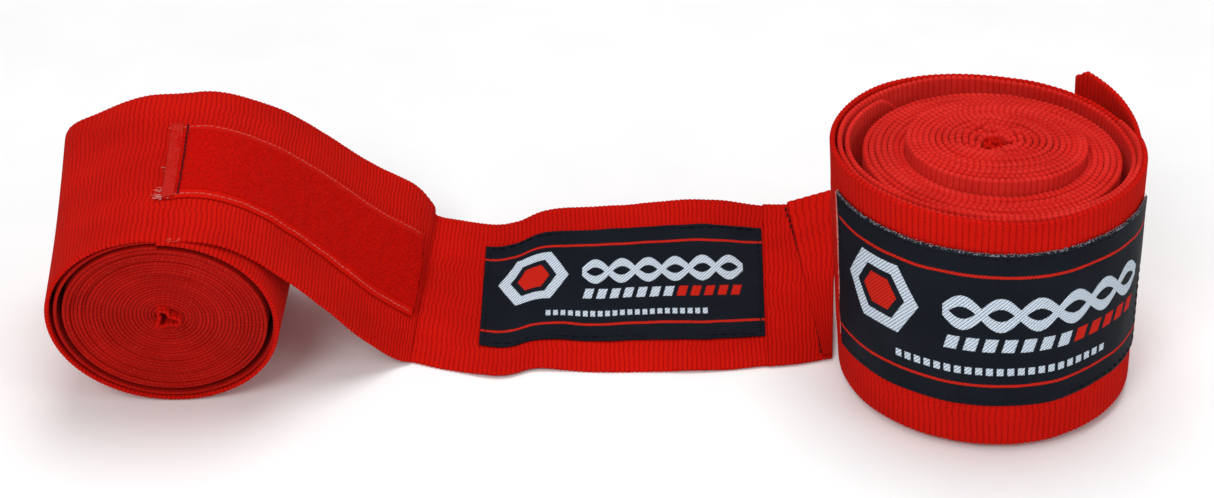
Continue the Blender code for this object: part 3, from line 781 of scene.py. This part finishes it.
patch_strip = left_cloth_strip.part(patch_start, patch_end)
left_patch = ribbon(
    "left_loop_tape", patch_strip, 0.6, 72, loop_tape, base=face + 0.35, low=patch_low,
    high=patch_low + TAPE_WIDTH, beads=0.1,
    lift=lambda s, v: nap(s, v) + left_cloth_lift(s + patch_start, v),
)
settle(left_patch, "left_strip", "red_tape", "left_loop_patch")
band_strip = left_cloth_strip.part(patch_start - 0.3, patch_start + 2.3)
left_band = ribbon(
    "left_loop_tape_end", band_strip, 0.4, 30, tape_edge, base=face + 0.98, low=patch_low + 0.1,
    high=patch_low + TAPE_WIDTH - 0.1, beads=0.15, rib=0.9,
    lift=lambda s, v: left_cloth_lift(s + patch_start - 0.3, v),
)
settle(left_band, "left_strip", "red_tape")
frays = []
fray_steps = np.array((0.0, 0.4, 0.75, 1.0))
for k in range(26):
    v = patch_low + (chance.uniform(-0.6, 2.2) if k < 17 else chance.uniform(2.0, TAPE_WIDTH))
    s = patch_start + chance.uniform(-0.4, 1.6)
    reach, turn = chance.uniform(0.8, 2.6), chance.uniform(2.4, 4.6)
    bend = chance.uniform(-0.5, 0.5, 4) * fray_steps
    line_s = s + reach * fray_steps * math.cos(turn) + bend
    line_v = v + reach * fray_steps * math.sin(turn) * 0.7 - bend
    line_h = face + 0.6 - 0.35 * fray_steps + chance.uniform(0, 0.5)
    frays.append(left_cloth_strip.at(line_s, line_v, line_h))
left_frays = threads("left_loop_tape_frays", frays, 0.16, pale_thread)
settle(left_frays, "left_strip", "red_thread")
# A tuft of threads at the near edge of the strip, below the patch's end.
tuft = []
for k in range(9):
    s = patch_start + 3.0 + chance.uniform(-1.2, 1.6)
    line_s = s + chance.uniform(-1.2, 1.2) * fray_steps**2
    line_v = 0.5 - chance.uniform(0.4, 1.3) * fray_steps + 0.3 * fray_steps**3
    tuft.append(left_cloth_strip.at(line_s, line_v, face - 0.2 - chance.uniform(0.0, 0.6) * fray_steps))
left_tuft = threads("left_edge_tuft", tuft, 0.26, red_thread)
settle(left_tuft, "left_strip", "red_thread")

for k, v in enumerate((patch_low + 0.9, patch_low + TAPE_WIDTH - 0.9)):
    row = stitches(
        f"left_tape_stitches_{k}", left_cloth_strip, [(patch_start + 0.5, v), (patch_end - 0.5, v)],
        1.35, 1.25, 0.34, face + 0.62, soft_thread, lift=left_cloth_lift,
    )
    settle(row, "left_strip", "red_thread", *(["left_loop_patch_stitching"] if k == 0 else []))
row = stitches(
    "left_tape_stitches_end", left_cloth_strip,
    [(patch_start + 3.1, patch_low + 0.6), (patch_start + 3.1, patch_low + TAPE_WIDTH - 0.6)],
    1.3, 1.2, 0.4, face + 0.85, dark_thread, lift=left_cloth_lift,
)
settle(row, "left_strip", "red_thread")

label_end = left_cloth_strip.length - 0.6
label_start = label_end - LABEL_LEFT[0]
label_low = (LEFT_WIDTH - LABEL_LEFT[1]) / 2
label_strip = left_cloth_strip.part(label_start, label_end)


def label_ripple(s, v):
    return wander_2d(s, v, 6.0, 51) * 0.12 + left_cloth_lift(s + label_start, v)


left_label = ribbon(
    "left_label", label_strip, 0.45, 60, label_left_look, base=face + 0.35, low=label_low,
    high=label_low + LABEL_LEFT[1], beads=0.05, lift=label_ripple,
    narrow=lambda s: wander(s, 5.0, 52) * 0.25 - 0.1,
)
settle(left_label, "left_panel", "black_woven_label", "left_woven_label")


def label_row(name, body, strip, path, sizes, nodes):
    """A row of the stitches that hold a label; sizes are their pitch, length, thickness and height."""
    settle(stitches(name, strip, path, *sizes, black_thread), body, "black_thread", *nodes)


label_top = label_low + LABEL_LEFT[1]
for s, word in ((label_start + 1.1, "start"), (label_end - 1.1, "end")):
    path = [(s, label_low + 0.8), (s + 0.3, (label_low + label_top) / 2), (s, label_top - 0.8)]
    nodes = ["left_label_stitching"] if word == "start" else []
    sizes = (1.7, 1.25, 0.4, face + 0.6)
    label_row(f"left_label_stitches_{word}", "left_panel", left_cloth_strip, path, sizes, nodes)
for v, word in ((label_low + 0.9, "near"), (label_top - 0.9, "far")):
    path = [(label_start + 1, v), (label_end - 1, v)]
    sizes = (2.2, 1.6, 0.36, face + 0.58)
    label_row(f"left_label_stitches_{word}", "left_panel", left_cloth_strip, path, sizes, [])


def hook_tape(side, body, strip, start, end, low, cloth, words):
    """Hook tape behind a strip, with a row of stitches along each of its sides."""
    top = low + TAPE_WIDTH
    tape = ribbon(
        f"{side}_hook_tape", strip.part(start, end), 0.8, 40, loop_tape, base=-cloth / 2 - 0.45,
        low=low, high=top, beads=0.1,
    )
    settle(tape, body, "red_tape", f"{side}_hook_patch")
    for v, word in zip((low + 1.0, top - 1.0), words):
        path = [(start + 1.0, v), (end - 1.0, v)]
        name = f"{side}_hook_stitches_{word}"
        row = stitches(name, strip, path, 2.4, 1.7, 0.4, -cloth / 2 - 1.0, red_thread)
        settle(row, body, "red_thread", *([f"{side}_hook_patch_stitching"] if word == words[0] else []))


hook_span = (label_start + 6.0, label_end - 4.0)
hook_tape("left", "left_panel", left_cloth_strip, *hook_span, patch_low, LEFT_CLOTH, ("near", "far"))

# The doubled hem of the end, and its row of dark stitches.
end_length = left_end_strip.length
hem_sides = ((LEFT_HEM[0], 0.3), (LEFT_HEM[1], LEFT_WIDTH - 0.3))
hem_near, hem_far = (left_end_strip.at([end_length - back], v, 0.0)[0] for back, v in hem_sides)
end_near, end_far = (left_end_strip.at([end_length], v, 0.0)[0] for _, v in hem_sides)
hem_rows = np.linspace(0, 1, 30)[:, None]
hem_strip = Strip(
    hem_near + (end_near - hem_near) * hem_rows, hem_far + (end_far - hem_far) * hem_rows, 0.3
)
left_hem = ribbon("left_end_fold", hem_strip, LEFT_CLOTH, 40, knit_left, base=LEFT_CLOTH + 0.1)
settle(left_hem, "left_end", "red_cloth", "left_end_hem")
seam_path = [
    (end_length - LEFT_HEM[0] - 0.5, 1.0),
    (end_length - (LEFT_HEM[0] + LEFT_HEM[1]) / 2 - 0.2, 25.0),
    (end_length - LEFT_HEM[1] - 0.7, 48.0),
]
left_seam = stitches(
    "left_end_stitches", left_end_strip, seam_path, 1.9, 1.5, 0.42, face + 0.05, dark_thread,
)
settle(left_seam, "left_end", "red_thread", "left_end_seam")

# The thumb loop, crumpled up in the middle of the roll.
t = np.linspace(0, 1, 140)
core_angle = 360 * 1.9 * t + 200
core_radius = 1.9 + 0.95 * np.cos(np.radians(3 * core_angle + 30)) * (0.5 + 0.5 * t) + 0.3 * t
core_near, core_far = left_edges(core_angle, core_radius, core_radius)
core_strip = Strip(core_near, core_far, 0.3)
left_core = ribbon(
    "left_thumb_loop_cloth", core_strip, 0.75, 2, knit_left, low=1.2, high=45.0, beads=0.1,
    slide=lambda s: wander(s, 2.5, 61) * 0.8 - 0.4,
)
settle(left_core, "left_coil", "red_cloth", "left_thumb_loop")


# ---- Right wrap: edges -------------------------------------------------------------------------------
RIGHT_START = 20.0  # degrees, under the peeling end, where the outer cloth takes over from the inner turns
RIGHT_INNER_START = -606.0  # where those begin, at the back, with their first edge sunk among the turns
SPLIT = 334.0  # where the cloth of the flap takes over, under the end of the label


def right_edges(angle, low_radius, top_radius, low_lift, top_lift, lean):
    """Lower and upper edge points on the standing roll at these angles, in degrees."""
    turn = np.radians(angle)
    spoke = np.stack([np.cos(turn), np.sin(turn), turn * 0], axis=1)
    up = np.array((0.0, 0.0, 1.0))
    aside = np.array((1.0, 0.0, 0.0)) * (turn * 0 + lean)[:, None]
    low = RIGHT_CENTRE + aside + spoke * low_radius[:, None] + up * low_lift[:, None]
    top = RIGHT_CENTRE - aside + spoke * top_radius[:, None] + up * (RIGHT_WIDTH + top_lift)[:, None]
    return low, top


def edge_lifts(angle):
    """How high the cloth's lower and upper edges lie, against the table and the strip's width."""
    sine, cosine = np.sin(np.radians(angle)), np.cos(np.radians(angle))
    low = RIGHT_LOW_LIFT[0] - RIGHT_LOW_LIFT[1] * sine + 0.9 * cosine * (angle > RIGHT_START)
    return low, RIGHT_TOP_LIFT[0] + 1.2 - (RIGHT_TOP_LIFT[1] - 0.9) * sine


def right_turn_strip(first, last):
    """A stretch of the outermost turns of the standing roll and of their peeling end, as one strip."""
    angle = np.linspace(first, last, 241)
    deep = np.ceil(np.maximum(RIGHT_TURN_START - angle, 0.0) / 360)
    place = angle + 360 * deep
    layer = deep + 1 - smooth_step(place, RIGHT_TURN_START, RIGHT_TURN_START + 40)
    away = np.clip((angle - FLAP_SPAN[0]) / (FLAP_SPAN[1] - FLAP_SPAN[0]), 0, 2)
    stand = CLOTH / 2 + FLAP_PEEL * away**1.15 - RIGHT_LAYER * layer
    low_lift, top_lift = edge_lifts(angle)
    uneven = wander(angle, 22.0, 71) * 0.3
    nested = 0.4 * wander(angle, 60.0, 72) * np.minimum(layer, 1) - 0.25 * layer
    top_lift = top_lift + FLAP_RISE * away**0.7 + uneven + nested
    low_lift = np.maximum(low_lift + uneven - 0.8 * np.minimum(layer, 1), 0.3)
    top_lift = top_lift - 2.0 * smooth_step(away, 0.90, 1.0) * (away < 1.5)
    top_lift = top_lift - 7.0 * (1 - smooth_step(angle, RIGHT_INNER_START, RIGHT_INNER_START + 22))
    lean = RIGHT_TURN_LEAN - LAYER_LEAN * layer
    radii = (RIGHT_TURN_LOW + stand, RIGHT_TURN_TOP + stand)
    return Strip(*right_edges(angle, *radii, low_lift, top_lift, lean), 0.3)


# ---- Right wrap: pieces ------------------------------------------------------------------------------
def right_cloth_lift(s, v):
    return wander_2d(s, v * 0.7, 13.0, 81) * 0.22 + wander_2d(s, v, 4.0, 82) * 0.06


outer_strip = right_turn_strip(RIGHT_START, SPLIT)
right_outer = ribbon(
    "right_outer_cloth", outer_strip, RIGHT_CLOTH, 44, knit_right, rib=RIGHT_RIB, lift=right_cloth_lift,
)
settle(right_outer, "right_wrap", "red_cloth", "right_outer_turn")

flap_strip = right_turn_strip(SPLIT, FLAP_SPAN[1])
right_flap = ribbon(
    "right_flap_cloth", flap_strip, RIGHT_CLOTH, 44, knit_right, rib=RIGHT_RIB,
    lift=lambda s, v: right_cloth_lift(s + outer_strip.length, v),
)
settle(right_flap, None, "red_cloth", "right_end_flap")

right_inner_strip = right_turn_strip(RIGHT_INNER_START, RIGHT_START)
right_inner = ribbon(
    "right_inner_turns", right_inner_strip, 1.05, 2, knit_right_edge_painted_light, beads=0.18, rib=RIGHT_RIB,
)
settle(right_inner, "right_wrap", "red_cloth")

coil_top, coil_low = 27.0, 25.5
right_turns = (coil_top - CORE) / RIGHT_TURN_PITCH
sweep = np.linspace(0.0, 1.0, int(right_turns * 120))
coil_angle = 262.0 - 360.0 * right_turns * (1 - sweep)
top_radius = CORE + (coil_top - CORE) * sweep
low_radius = CORE + (coil_low - CORE) * sweep
loose = 1 - smooth_step(sweep, 0.35, 0.8)
oval = 1 + loose * (
    0.07 * np.cos(np.radians(2 * coil_angle)) + 0.03 * np.cos(np.radians(3 * coil_angle + 70))
)
plug = smooth_step(top_radius, 18.9, 18.2)
level = (
    1.2 + plug * (2.7 + 0.4 * smooth_step(top_radius, 18.5, 10.0) - 0.9 * smooth_step(top_radius, 7.0, 3.0))
    - (1 - plug) * 0.5 * smooth_step(top_radius, 20.8, 19.0)
    - (1 - plug) * 0.9 * smooth_step(top_radius, 24.6, 27.5)
    - 0.5 * np.exp(-(((top_radius - 25.2) / 0.5) ** 2))
    + wander(top_radius, 1.3, 91) * 0.2
)
creased = smooth_step(top_radius, 9.5, 5.0)
around = np.radians(coil_angle)
level = level + 1.1 * creased * wander_2d(top_radius * np.cos(around), top_radius * np.sin(around), 2.4, 96)
level = level - (RIGHT_TOP_LIFT[1] - 0.9) * top_radius / RIGHT_TURN_TOP * np.sin(around)
low_level = np.abs(wander(sweep * 600, 5.0, 92)) * 0.5 + 0.4
right_coil_strip = Strip(
    *right_edges(coil_angle, low_radius, top_radius * oval, low_level, level, COIL_LEAN), 0.3
)
right_coil = ribbon(
    "right_wound_turns", right_coil_strip, RIGHT_TURN_PITCH * 0.96, 2, knit_right_edge_painted_light, beads=0.20,
    rib=RIGHT_RIB, blunt=0.8, slide=lambda s: wander(s, 4.0, 93) * 0.12,
)
settle(right_coil, "right_coil", "red_cloth", "right_wound_coil")

t = np.linspace(0, 1, 160)
core_angle = 360 * 2.1 * t + 100
core_radius = 1.55 + 0.8 * np.cos(np.radians(2.5 * core_angle)) * (0.5 + 0.5 * t) + 0.45 * t
core_level = 2.6 + wander(t * 100, 9.0, 95) * 0.7
core_low, core_top = right_edges(
    core_angle, core_radius, core_radius, core_radius * 0 + 3.0, core_level, COIL_LEAN
)
core_strip = Strip(core_low, core_top, 0.3)
right_core = ribbon("right_thumb_loop_cloth", core_strip, 0.9, 2, knit_right, beads=0.16)
settle(right_core, "right_coil", "red_cloth", "right_thumb_loop")

# ---- Right wrap: label, tapes, seams -----------------------------------------------------------------
face = RIGHT_CLOTH / 2
whole_strip = right_turn_strip(RIGHT_TURN_START, FLAP_SPAN[1])
degree = right_turn_strip(RIGHT_TURN_START, SPLIT).length / (SPLIT - RIGHT_TURN_START)
label_start = (LABEL_RIGHT_START - RIGHT_TURN_START) * degree
label_end = label_start + LABEL_RIGHT[0]
label_strip = whole_strip.part(label_start, label_end)
right_label = ribbon(
    "right_label", label_strip, 0.45, 60, label_right_look, base=face + 0.38, low=LABEL_RIGHT_LOW,
    high=LABEL_RIGHT_LOW + LABEL_RIGHT[1], beads=0.05,
    lift=lambda s, v: right_cloth_lift(s + label_start, v) + wander_2d(s, v, 5.0, 83) * 0.08,
    narrow=lambda s: wander(s, 6.0, 84) * 0.15,
)
settle(right_label, "right_wrap", "black_woven_label", "right_woven_label")

label_top = LABEL_RIGHT_LOW + LABEL_RIGHT[1]
for word, ends in (
    ("start", [(label_start + 1.2, LABEL_RIGHT_LOW + 1), (label_start + 1.2, label_top - 1)]),
    ("end", [(label_end - 1.2, LABEL_RIGHT_LOW + 1), (label_end - 1.2, label_top - 1)]),
    ("low", [(label_start + 1, LABEL_RIGHT_LOW + 1), (label_end - 1, LABEL_RIGHT_LOW + 1)]),
    ("top", [(label_start + 1, label_top - 1.2), (label_end - 1, label_top - 1.2)]),
):
    nodes = ["right_label_stitching"] if word == "start" else []
    sizes = (2.2, 1.6, 0.30, face + 0.52)
    label_row(f"right_label_stitches_{word}", "right_wrap", whole_strip, ends, sizes, nodes)
fringe = stitches(
    "right_label_fray_top", whole_strip, [(label_start, label_top + 0.1), (label_end, label_top + 0.1)],
    0.6, 0.40, 0.17, face + 0.3, grey_thread, wobble=0.14, lean=0.08,
)
settle(fringe, "right_wrap", "black_thread")
for k in range(3):
    s = label_start - 0.5 - 0.55 * k
    path = [(s, LABEL_RIGHT_LOW + 1), (s + 0.2, label_top - 0.5 * k)]
    fringe = stitches(
        f"right_label_fray_side_{k}", whole_strip, path, 0.62, 0.55, 0.5, face - 0.05, pale_thread,
        wobble=0.2, lean=0.25,
    )
    settle(fringe, "right_wrap", "black_thread")

patch_start = (RIGHT_PATCH_START - RIGHT_TURN_START) * degree
tape_low = (RIGHT_WIDTH - TAPE_WIDTH) / 2
right_patch = ribbon(
    "right_loop_tape", whole_strip.part(patch_start, patch_start + RIGHT_PATCH_LENGTH), 0.6, 60, loop_tape,
    base=face + 0.35, low=tape_low, high=tape_low + TAPE_WIDTH, beads=0.1,
    lift=lambda s, v: nap(s, v - (RIGHT_WIDTH - LEFT_WIDTH) / 2) + right_cloth_lift(s + patch_start, v),
)
settle(right_patch, "right_wrap", "red_tape", "right_loop_patch")
for v, word in ((tape_low + 0.9, "low"), (tape_low + TAPE_WIDTH - 0.9, "top")):
    row = stitches(
        f"right_tape_stitches_{word}", whole_strip,
        [(patch_start + 1, v), (patch_start + RIGHT_PATCH_LENGTH - 1, v)],
        1.5, 1.3, 0.36, face + 0.55, soft_thread,
    )
    settle(row, "right_wrap", "red_thread", *(["right_loop_patch_stitching"] if word == "low" else []))

flap_length = flap_strip.length
hook_span = (flap_length - 16.0, flap_length - 1.0)
hook_tape("right", "right_flap", flap_strip, *hook_span, tape_low, RIGHT_CLOTH, ("low", "top"))
right_hem = ribbon(
    "right_end_fold", flap_strip.part(flap_length - RIGHT_HEM, flap_length), RIGHT_CLOTH, 40, knit_right,
    base=RIGHT_CLOTH + 0.1, low=0.3, high=RIGHT_WIDTH - 0.3, beads=0.16,
)
settle(right_hem, "right_flap", "red_cloth", "right_end_hem")
right_seam = stitches(
    "right_end_stitches", flap_strip, [(flap_length - 5.6, 1.0), (flap_length - 5.6, RIGHT_WIDTH - 1.0)],
    2.0, 1.6, 0.45, face + 0.05, black_thread,
)
settle(right_seam, "right_flap", "red_thread", "right_end_seam")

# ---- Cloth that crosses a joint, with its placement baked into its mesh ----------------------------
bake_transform(left_cloth)
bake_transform(left_end)
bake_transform(right_flap)



# ---- Floor, light and camera ---------------------------------------------------------------------------
floor_look = Look("pale_floor", 0.9, specular=0.05)
grain = floor_look.space_noise(40.0, 2.0)
floor_look.colour(floor_look.mix(grain.ramp(0.3, 0.7), (0.92, 0.92, 0.925), (0.94, 0.94, 0.94)))
floor_mesh = bpy.data.meshes.new("floor")
floor_mesh.from_pydata([(-3, -3, 0), (3, -3, 0), (3, 3, 0), (-3, 3, 0)], [], [(0, 1, 2, 3)])
floor_mesh.materials.append(floor_look.material)
floor = bpy.data.objects.new("floor", floor_mesh)
bpy.context.scene.collection.objects.link(floor)


def area_light(name, place, aim, size, power, colour=(1.0, 1.0, 1.0)):
    lamp = bpy.data.lights.new(name, "AREA")
    lamp.shape = "DISK"
    lamp.size = size
    lamp.energy = power
    lamp.color = colour
    made = bpy.data.objects.new(name, lamp)
    made.location = place
    aim_at(made, aim)
    bpy.context.scene.collection.objects.link(made)


def aim_at(thing, target):
    thing.rotation_mode = "QUATERNION"
    thing.rotation_quaternion = (Vector(target) - Vector(thing.location)).to_track_quat("-Z", "Y")


area_light("top_light", (0.05, 0.10, 0.95), (0, 0, 0.02), 0.6, 4.4)
area_light("front_light", (-0.30, -0.70, 0.75), (0, 0, 0.02), 0.4, 3.6)
area_light("low_light", (-0.12, -0.95, 0.10), (0, 0, 0.02), 0.5, 1.6)
area_light("side_light", (0.75, -0.45, 0.5), (0.03, 0, 0.02), 0.5, 1.2)

world = bpy.data.worlds.new("studio")
world.use_nodes = True
world.node_tree.nodes["Background"].inputs["Color"].default_value = (1.0, 1.0, 1.0, 1.0)
world.node_tree.nodes["Background"].inputs["Strength"].default_value = 0.42
bpy.context.scene.world = world
bpy.context.scene.view_settings.view_transform = "Standard"

camera_data = bpy.data.cameras.new("camera")
camera_data.sensor_width = 36.0
camera_data.lens = 71.2
camera_data.clip_start = 0.01
camera_data.clip_end = 20.0
camera = bpy.data.objects.new("camera", camera_data)
camera.location = (0.00413, -0.43698, 0.315)
camera.rotation_euler = (math.radians(90 - 33.5), 0.0, 0.0)
bpy.context.scene.collection.objects.link(camera)
bpy.context.scene.camera = camera
